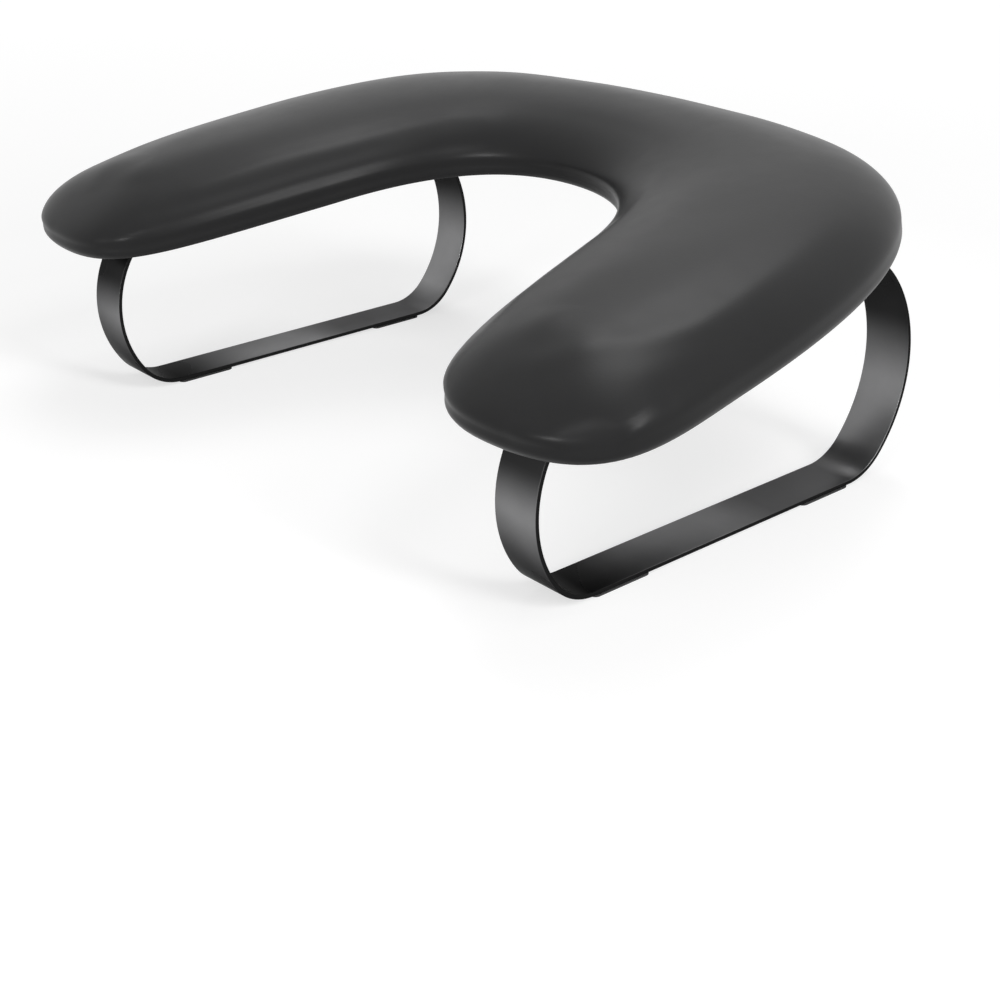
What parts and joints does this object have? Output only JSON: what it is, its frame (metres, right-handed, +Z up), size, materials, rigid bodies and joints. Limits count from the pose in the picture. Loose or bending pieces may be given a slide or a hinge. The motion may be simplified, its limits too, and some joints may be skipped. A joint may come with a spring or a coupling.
{
  "type": "manicure hand rest",
  "caption": "U-shaped padded arm rest that slopes down towards its arm tips, on two closed loops of flat steel strip.",
  "frame": {"origin": "bottom centre of the bounding box, on the floor under the pads", "axes": "+X towards the right arm, +Y from the arm tips to the closed back of the U, +Z up"},
  "size_m": [0.4594, 0.2949, 0.1557],
  "materials": {
    "cushion_leather": "satin smooth",
    "leg_steel": "satin black",
    "anti_slip_pad": "matte",
    "fastener_steel": "zinc plated",
    "cushion_foam": "matte open-cell foam",
    "board": "raw plywood",
    "underside_lining": "matte"
  },
  "bodies": {
    "root": {"cushion_cover": "cushion_leather", "foam_pad": "cushion_foam", "base_board": "board", "bottom_lining": "underside_lining", "left_leg": "leg_steel", "right_leg": "leg_steel", "left_front_pad": "anti_slip_pad", "left_rear_pad": "anti_slip_pad", "right_front_pad": "anti_slip_pad", "right_rear_pad": "anti_slip_pad", "left_front_screw": "fastener_steel", "left_rear_screw": "fastener_steel", "right_front_screw": "fastener_steel", "right_rear_screw": "fastener_steel", "left_front_insert": "fastener_steel", "left_rear_insert": "fastener_steel", "right_front_insert": "fastener_steel", "right_rear_insert": "fastener_steel"}
  },
  "joints": []
}
